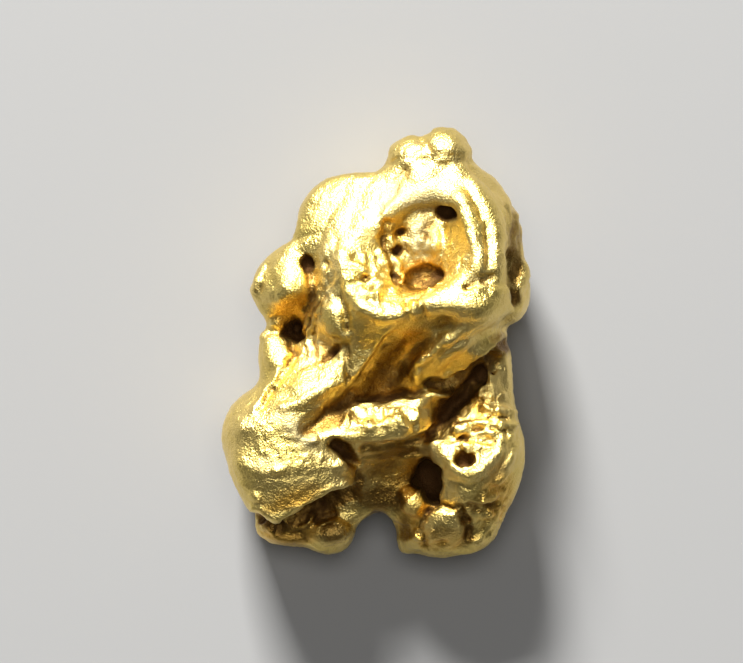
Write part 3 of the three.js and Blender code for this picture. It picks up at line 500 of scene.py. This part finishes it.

# places painted dark brown: iron staining in the pits, and painted shade in the valley, under the bar, below
# the block and on faces turned away from the light: x, y, half length, half width, turn, strength
stainAndShadePlaces = [
    (1.9, 3.64, 0.26, 0.2, -10, 1.0), (1.45, 3.95, 0.7, 0.26, 0, 0.1), (1.15, 3.45, 0.4, 0.2, 0, 0.3),
    (-1.15, -2.15, 0.62, 0.22, 25, 0.9), (-2.1, -2.45, 0.7, 0.2, -50, 0.4),
    (-0.75, -0.55, 0.5, 0.12, 100, 0.6), (0.45, 3.2, 0.42, 0.3, 0, 0.6),
    (1.45, 3.15, 0.45, 0.3, 80, 0.55), (3.4, -4.1, 0.6, 1.0, 0, 0.1), (-1.5, -0.1, 0.3, 0.2, 40, 0.4),
    (0.62, 2.62, 0.18, 0.15, 0, 0.9), (0.5, 2.3, 0.25, 0.5, 0, 0.35), (0.53, 1.94, 0.18, 0.15, 0, 0.8),
    (1.66, 1.92, 0.24, 0.16, 0, 0.8), (1.4, 1.85, 0.5, 0.36, 0, 0.5), (-1.92, 2.3, 0.28, 0.18, 100, 0.9),
    (-1.8, 1.5, 0.6, 0.14, 95, 0.5), (-2.3, 0.4, 0.26, 0.18, 10, 0.9), (-2.14, 0.2, 0.2, 0.14, 30, 0.8),
    (-2.4, 0.8, 0.5, 0.3, 0, 0.2), (0.35, -0.25, 0.7, 0.36, 55, 0.85), (0.3, -0.9, 0.95, 0.45, 8, 0.75),
    (1.1, 0.15, 0.45, 0.4, 0, 0.4), (1.9, 0.65, 0.75, 0.22, 20, 0.5), (-0.35, -1.2, 0.7, 0.3, 35, 0.6),
    (2.75, -0.72, 1.1, 0.3, 40, 1.0), (2.15, -1.7, 0.75, 0.4, 45, 1.0),
    (1.2, -1.05, 0.35, 0.25, 10, 0.5), (3.5, -0.1, 0.4, 0.35, 40, 0.9),
    (1.48, -3.85, 0.58, 0.38, 100, 1.0), (0.55, -3.0, 1.0, 0.2, 6, 0.8), (0.4, -3.55, 1.1, 0.6, 0, 0.65),
    (0.1, -4.3, 0.9, 0.5, 0, 0.9), (-0.85, -2.95, 0.42, 0.22, -40, 1.0),
    (-0.42, -3.85, 0.32, 0.18, 90, 1.0), (-1.3, -4.45, 1.2, 0.28, 25, 0.95),
    (-2.7, -5.08, 0.65, 0.2, 0, 0.95), (-1.15, -1.85, 1.0, 0.25, 42, 0.6),
    (-1.2, -5.25, 0.55, 0.34, 10, 1.0), (-2.4, -5.4, 0.9, 0.25, 0, 0.75),
    (1.85, -5.15, 0.44, 0.38, 0, 0.75), (1.5, -5.8, 0.8, 0.25, 0, 0.6), (0.8, -5.2, 0.2, 0.6, 0, 0.7),
    (2.75, -4.5, 0.7, 0.36, 20, 0.6), (2.5, -5.2, 0.3, 0.6, 0, 0.7), (3.4, -4.4, 0.5, 0.5, 0, 0.5),
    (3.85, 1.35, 0.34, 0.22, 90, 1.0), (3.86, 2.7, 1.5, 0.3, 90, 0.85),
    (2.45, -3.15, 0.26, 0.2, 0, 0.85), (2.5, -2.6, 0.24, 0.1, 0, 0.6), (-1.2, -0.2, 0.4, 0.16, 42, 0.9),
    (2.85, -1.75, 0.22, 0.3, 0, 0.4), (-3.9, -3.6, 0.4, 0.8, 0, 0.5), (3.95, -3.2, 0.3, 1.2, 0, 0.4),
    (-3.35, 1.0, 0.25, 0.5, 0, 0.4),
]

# places painted orange: a painted warm reflection, standing in for the light the gold throws back into its
# own hollows and onto faces turned down
warmReflectionPlaces = [
    (1.3, 1.85, 0.55, 0.42, 0, 1.0), (-2.35, 0.95, 0.65, 0.45, 0, 0.9), (1.0, 0.0, 0.45, 0.6, 60, 0.8),
    (-2.2, -4.15, 1.2, 0.42, 15, 0.75), (0.45, 3.25, 0.42, 0.3, 0, 0.9), (0.3, -0.5, 0.9, 0.8, 30, 0.5),
    (0.5, -3.4, 1.0, 0.8, 0, 0.8), (-1.2, -5.3, 0.8, 0.5, 0, 0.5), (2.85, -1.75, 0.25, 0.3, 0, 0.7),
    (2.8, -4.6, 0.7, 0.5, 0, 0.4), (-2.3, -4.3, 1.0, 0.3, 18, 1.0), (-2.4, -5.3, 1.1, 0.35, 0, 0.9),
    (1.8, -5.4, 1.0, 0.5, 0, 0.7), (3.4, -4.2, 0.6, 1.1, 0, 0.7), (-1.5, -0.15, 0.3, 0.2, 40, 0.4),
    (0.95, -4.9, 0.4, 0.8, 0, 0.7), (0.3, -4.2, 0.8, 0.4, 0, 0.8), (3.2, -4.9, 0.4, 0.8, -20, 0.4),
]

# places painted a greyish, dulled tone: partly the gold's own dullness, partly painted shade
greyAndShadePlaces = [
    (1.3, 3.95, 0.8, 0.38, 0, 1.0), (1.25, 2.9, 0.8, 0.42, 90, 1.0), (-0.95, -0.1, 0.4, 0.2, 80, 0.5),
    (-1.35, 2.2, 0.9, 0.3, 90, 0.6), (-2.1, -2.45, 0.75, 0.28, -45, 1.0),
    (-1.5, -0.05, 0.4, 0.28, 40, 0.8), (-1.3, 1.4, 0.4, 0.16, 70, 0.7), (-3.1, -3.3, 0.5, 0.16, 0, 0.6),
    (0.45, 4.1, 0.65, 0.28, 55, 0.9), (3.3, -3.4, 0.6, 0.3, 40, 0.6), (2.8, 1.8, 0.4, 0.16, 0, 0.6),
    (1.5, -3.0, 0.3, 0.3, 0, 0.6),
]


# paints a value by place, plus painted shade along the creases and on every steep side of the nugget
def paintPlaces(thing, name, places, shadeOnFlanks=0.0, shadeInCreases=0.0):
    points, upper = wobbledPoints(thing), upperSide(thing)
    paint = np.zeros(len(points))
    if shadeInCreases:
        for halfWidth, depth, line in creases.values():
            reach = np.clip(distanceToLine(points, line) / halfWidth, 0, 1)
            paint = np.maximum(paint, shadeInCreases * min(1.0, depth / 0.15) * (1 - reach ** 2))
    for x, y, halfLength, halfWidth, turn, strength in places:
        reach = reachFromOval(points, x, y, halfLength, halfWidth, turn)
        paint = np.maximum(paint, strength * np.clip(1.5 - reach, 0, 1))
    flankShade = shadeOnFlanks * np.clip(1.0 - 1.6 * upwardness(thing), 0, 1)
    values = thing.data.attributes.new(name, "FLOAT", "POINT")
    values.data.foreach_set("value", np.maximum(paint * upper, flankShade))


# dark brown paint: iron staining in pits, and painted shade on steep sides, in creases and in shaded places
paintPlaces(nugget, "stainAndShadePaint", stainAndShadePlaces, shadeOnFlanks=0.5, shadeInCreases=0.7)
paintPlaces(nugget, "warmReflectionPaint", warmReflectionPlaces)
paintPlaces(nugget, "greyAndShadePaint", greyAndShadePlaces)
nugget.scale = (0.001, 0.001, 0.001)
applyPlace(nugget)
makeActive(nugget)
bpy.ops.object.shade_smooth()
print("shelter measured, stain painted:", len(nugget.data.polygons), "faces")


goldLook = {
    "pale": (0.94, 0.71, 0.24, 1),
    "green": (0.82, 0.62, 0.17, 1),
    # the orange is a painted warm reflection in hollows and on faces turned down
    "orange": (0.86, 0.51, 0.09, 1),
    # the greyish tone is partly the gold's own dullness, partly painted shade
    "greyAndShade": (0.46, 0.38, 0.19, 1),
    # the two dark browns below are partly iron staining in pits, partly painted shade in hollows, creases
    # and on steep sides
    "agedAndShaded": (0.26, 0.145, 0.03, 1),
    "stainAndShade": (0.085, 0.036, 0.007, 1),
    "roughness": 0.36,
    "roughnessSpread": 0.22,
    "stainAndShadeRoughness": 0.75,
    "greyAndShadeRoughness": 0.2,  # more roughness where the greyish tone, partly painted shade, lies
    "greyAndShadeStrength": 0.85,
    "stainAndShadePaint": 0.4,  # how much of the painted dark brown, iron staining and painted shade, counts towards the darkest brown
    "agedAndShadedPaint": 0.8,  # and towards the brown round it
    "warmReflectionPaint": 0.7,
    "stainAndShadeLimits": (0.55, 0.95),  # shelter at which the darkest brown, partly painted shade, starts and is full
    "agedAndShadedLimits": (0.36, 0.92),
    "warmReflectionLimits": (0.33, 0.70),
    "stainAndShadeCover": 0.2,  # how far the darkest brown hides the metal
    "bumpStrength": 0.65,
    "bumpDistance": 0.00012,
}


def newGroup(name, inputs, outputs):
    group = bpy.data.node_groups.new(name, "ShaderNodeTree")
    for label, kind, value in inputs:
        socket = group.interface.new_socket(name=label, in_out="INPUT", socket_type=kind)
        if value is not None:
            socket.default_value = value
    for label, kind in outputs:
        group.interface.new_socket(name=label, in_out="OUTPUT", socket_type=kind)
    entry = group.nodes.new("NodeGroupInput")
    leave = group.nodes.new("NodeGroupOutput")
    entry.location = (-900, 0)
    leave.location = (700, 0)
    return group, entry, leave


def addNode(tree, kind, place, **settings):
    made = tree.nodes.new(kind)
    made.location = place
    for name, value in settings.items():
        setattr(made, name, value)
    return made


def mathNode(tree, place, operation, first, second):
    made = addNode(tree, "ShaderNodeMath", place, operation=operation)
    for slot, value in ((0, first), (1, second)):
        if isinstance(value, (int, float)):
            made.inputs[slot].default_value = value
        else:
            tree.links.new(value, made.inputs[slot])
    return made.outputs[0]


def noiseNode(tree, place, vector, scale, detail, rough):
    made = addNode(tree, "ShaderNodeTexNoise", place)
    made.inputs["Scale"].default_value = scale
    made.inputs["Detail"].default_value = detail
    made.inputs["Roughness"].default_value = rough
    tree.links.new(vector, made.inputs["Vector"])
    return made.outputs["Fac"]


grainLook = {  # scale and height of each layer
    "dents": (6.0, 0.1),
    "coarse": (4.0, 0.35),
    "fine": (17.0, 0.42),
}


# height of the worn, hammered grain, for a bump
def hammeredGrain():
    group, entry, leave = newGroup("hammeredGrain", [("Vector", "NodeSocketVector", None)],
                                   [("Height", "NodeSocketFloat")])
    vector = entry.outputs["Vector"]
    dents = addNode(group, "ShaderNodeTexVoronoi", (-600, 200), feature="SMOOTH_F1")
    dents.inputs["Scale"].default_value = grainLook["dents"][0]
    dents.inputs["Smoothness"].default_value = 0.6
    group.links.new(vector, dents.inputs["Vector"])
    coarse = noiseNode(group, (-600, -50), vector, grainLook["coarse"][0], 2.0, 0.5)
    fine = noiseNode(group, (-600, -300), vector, grainLook["fine"][0], 2.0, 0.6)
    total = mathNode(group, (-300, 100), "MULTIPLY", dents.outputs["Distance"], grainLook["dents"][1])
    coarse = mathNode(group, (-300, -50), "MULTIPLY", coarse, grainLook["coarse"][1])
    total = mathNode(group, (-100, 50), "ADD", total, coarse)
    fine = mathNode(group, (-300, -250), "MULTIPLY", fine, grainLook["fine"][1])
    total = mathNode(group, (100, 0), "ADD", total, fine)
    group.links.new(total, leave.inputs["Height"])
    return group


# dark brown in sheltered places, broken up by noise: iron staining in pits and painted shade in the hollows
def pitStainAndShade():
    inputs = [("Vector", "NodeSocketVector", None), ("Shelter", "NodeSocketFloat", 0.0),
              ("Start", "NodeSocketFloat", 0.4), ("Full", "NodeSocketFloat", 0.7)]
    group, entry, leave = newGroup("pitStainAndShade", inputs, [("Mask", "NodeSocketFloat")])
    patches = noiseNode(group, (-600, -100), entry.outputs["Vector"], 2.6, 4.0, 0.6)
    patches = mathNode(group, (-550, -350), "SUBTRACT", patches, 0.5)
    patches = mathNode(group, (-500, -250), "MULTIPLY", patches, 0.35)
    shifted = mathNode(group, (-350, 0), "ADD", entry.outputs["Shelter"], patches)
    ramp = addNode(group, "ShaderNodeMapRange", (-100, 0), clamp=True, interpolation_type="SMOOTHSTEP")
    group.links.new(shifted, ramp.inputs["Value"])
    group.links.new(entry.outputs["Start"], ramp.inputs["From Min"])
    group.links.new(entry.outputs["Full"], ramp.inputs["From Max"])
    group.links.new(ramp.outputs["Result"], leave.inputs["Mask"])
    return group


def mixColour(tree, place, factor, first, second):
    made = addNode(tree, "ShaderNodeMix", place, data_type="RGBA", blend_type="MIX")
    for slot, value in ((0, factor), (6, first), (7, second)):
        if isinstance(value, (int, float, tuple)):
            made.inputs[slot].default_value = value
        else:
            tree.links.new(value, made.inputs[slot])
    return made.outputs[2]


# the dark brown group, staining and painted shade, fed with the shelter plus a share of what is painted
def stainAndShadeMask(tree, height, group, vector, shelter, paint, strength, limits):
    hidden = mathNode(tree, (-1100, height), "MULTIPLY_ADD", paint, strength)
    tree.links.new(shelter, hidden.node.inputs[2])
    mask = addNode(tree, "ShaderNodeGroup", (-900, height), node_tree=group)
    tree.links.new(vector, mask.inputs["Vector"])
    tree.links.new(hidden, mask.inputs["Shelter"])
    mask.inputs["Start"].default_value, mask.inputs["Full"].default_value = limits
    return mask.outputs["Mask"]


def paintNode(tree, height, name):
    return addNode(tree, "ShaderNodeAttribute", (-1300, height), attribute_name=name).outputs["Fac"]


def nativeGold():
    material = bpy.data.materials.new("nativeGold")
    material.use_nodes = True
    tree = material.node_tree
    shader = tree.nodes["Principled BSDF"]
    coordinates = addNode(tree, "ShaderNodeTexCoord", (-1500, 0))
    millimetres = addNode(tree, "ShaderNodeMapping", (-1300, 0))
    millimetres.inputs["Scale"].default_value = (1000, 1000, 1000)
    tree.links.new(coordinates.outputs["Object"], millimetres.inputs["Vector"])
    vector = millimetres.outputs["Vector"]
    shelter = paintNode(tree, -400, "shelter")
    stainAndShadePaint = paintNode(tree, -600, "stainAndShadePaint")
    warmReflectionPaint = paintNode(tree, -800, "warmReflectionPaint")
    greyAndShadePaint = paintNode(tree, -1000, "greyAndShadePaint")

    # the darkest brown and the brown round it: iron staining in pits, and painted shade in hollows, creases
    # and on steep sides
    stainAndShadeGroup = pitStainAndShade()
    stainAndShade = stainAndShadeMask(tree, -400, stainAndShadeGroup, vector, shelter, stainAndShadePaint, goldLook["stainAndShadePaint"],
                      goldLook["stainAndShadeLimits"])
    agedAndShaded = stainAndShadeMask(tree, -550, stainAndShadeGroup, vector, shelter, stainAndShadePaint, goldLook["agedAndShadedPaint"],
                     goldLook["agedAndShadedLimits"])

    # orange where sheltered or painted: a painted warm reflection in the hollows
    warmReflection = addNode(tree, "ShaderNodeMapRange", (-900, -650), clamp=True)
    warmReflection.inputs["From Min"].default_value, warmReflection.inputs["From Max"].default_value = goldLook["warmReflectionLimits"]
    warmedByReflection = mathNode(tree, (-1100, -700), "MULTIPLY_ADD", warmReflectionPaint, goldLook["warmReflectionPaint"])
    tree.links.new(shelter, warmedByReflection.node.inputs[2])
    tree.links.new(warmedByReflection, warmReflection.inputs["Value"])

    clouds = noiseNode(tree, (-1100, 250), vector, 0.7, 5.0, 0.6)
    spread = addNode(tree, "ShaderNodeMapRange", (-900, 250), clamp=True)
    spread.inputs["From Min"].default_value = 0.38
    spread.inputs["From Max"].default_value = 0.62
    tree.links.new(clouds, spread.inputs["Value"])
    colour = mixColour(tree, (-650, 200), spread.outputs["Result"], goldLook["pale"], goldLook["green"])
    # a greyish tone where painted: partly the gold's own dullness, partly painted shade
    dullAndShaded = mathNode(tree, (-700, 300), "MULTIPLY", greyAndShadePaint, goldLook["greyAndShadeStrength"])
    colour = mixColour(tree, (-550, 150), dullAndShaded, colour, goldLook["greyAndShade"])
    colour = mixColour(tree, (-450, 100), warmReflection.outputs["Result"], colour, goldLook["orange"])
    colour = mixColour(tree, (-350, 50), agedAndShaded, colour, goldLook["agedAndShaded"])
    colour = mixColour(tree, (-250, 0), stainAndShade, colour, goldLook["stainAndShade"])
    tree.links.new(colour, shader.inputs["Base Color"])

    patches = noiseNode(tree, (-1100, -150), vector, 1.8, 4.0, 0.6)
    rough = mathNode(tree, (-650, -150), "MULTIPLY_ADD", patches, goldLook["roughnessSpread"])
    rough.node.inputs[2].default_value = goldLook["roughness"] - goldLook["roughnessSpread"] / 2
    rise = goldLook["stainAndShadeRoughness"] - goldLook["roughness"]
    stainAndShadeRise = mathNode(tree, (-650, -350), "MULTIPLY", stainAndShade, rise)
    rough = mathNode(tree, (-450, -200), "ADD", rough, stainAndShadeRise)
    greyAndShadeRise = mathNode(tree, (-450, -300), "MULTIPLY", greyAndShadePaint, goldLook["greyAndShadeRoughness"])
    rough = mathNode(tree, (-250, -200), "ADD", rough, greyAndShadeRise)
    tree.links.new(rough, shader.inputs["Roughness"])
    covered = mathNode(tree, (-650, -500), "MULTIPLY", stainAndShade, goldLook["stainAndShadeCover"])
    bare = mathNode(tree, (-450, -400), "SUBTRACT", 1.0, covered)
    tree.links.new(bare, shader.inputs["Metallic"])

    grain = addNode(tree, "ShaderNodeGroup", (-900, -900), node_tree=hammeredGrain())
    tree.links.new(vector, grain.inputs["Vector"])
    bump = addNode(tree, "ShaderNodeBump", (-300, -800))
    bump.inputs["Strength"].default_value = goldLook["bumpStrength"]
    bump.inputs["Distance"].default_value = goldLook["bumpDistance"]
    tree.links.new(grain.outputs["Height"], bump.inputs["Height"])
    tree.links.new(bump.outputs["Normal"], shader.inputs["Normal"])
    return material


nugget.data.materials.clear()
nugget.data.materials.append(nativeGold())
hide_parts("nugget")
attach(nugget, "root")
print("native gold laid on")


studio = {
    "floorColour": (0.30, 0.297, 0.29, 1),
    "worldColour": (0.045, 0.045, 0.048, 1),
    "keyPlace": (-0.07, 0.27, 0.19), "keySize": 0.08, "keyPower": 3.35,
    "softPlace": (0.0, 0.05, 0.5), "softSize": 0.22, "softPower": 1.0,
    "lightsAim": (0, 0, 0.003),
    "cameraAim": (-0.000125, 0.000361, 0.003),
    "cameraDistance": 0.2,  # straight above its aim
    "frameWidth": 743 / 36000,  # how much of the floor the picture spans, in metres
}


def addFloor():
    clearSelection()
    bpy.ops.mesh.primitive_plane_add(size=2.0, location=(0, 0, 0))
    floor = bpy.context.object
    floor.name = "paleFloor"
    material = bpy.data.materials.new("paleFloor")
    material.use_nodes = True
    shader = material.node_tree.nodes["Principled BSDF"]
    shader.inputs["Base Color"].default_value = studio["floorColour"]
    shader.inputs["Roughness"].default_value = 0.9
    shader.inputs["Specular IOR Level"].default_value = 0.1
    floor.data.materials.append(material)


def addSoftLight(name, place, size, power):
    bpy.ops.object.light_add(type="AREA", location=place)
    light = bpy.context.object
    light.name = name
    light.data.size = size
    light.data.energy = power
    light.rotation_euler = (Vector(studio["lightsAim"]) - Vector(place)).to_track_quat("-Z", "Y").to_euler()


def addCamera():
    x, y, z = studio["cameraAim"]
    bpy.ops.object.camera_add(location=(x, y, z + studio["cameraDistance"]), rotation=(0, 0, 0))
    camera = bpy.context.object
    camera.data.sensor_width = 36
    camera.data.lens = 36 * studio["cameraDistance"] / studio["frameWidth"]
    camera.data.clip_start = 0.001
    bpy.context.scene.camera = camera


addFloor()
addSoftLight("keyLight", studio["keyPlace"], studio["keySize"], studio["keyPower"])
addSoftLight("softLight", studio["softPlace"], studio["softSize"], studio["softPower"])
addCamera()
world = bpy.data.worlds.new("studioWorld")
world.use_nodes = True
world.node_tree.nodes["Background"].inputs["Color"].default_value = studio["worldColour"]
bpy.context.scene.world = world
bpy.context.scene.view_settings.view_transform = "Standard"
print("studio set up")
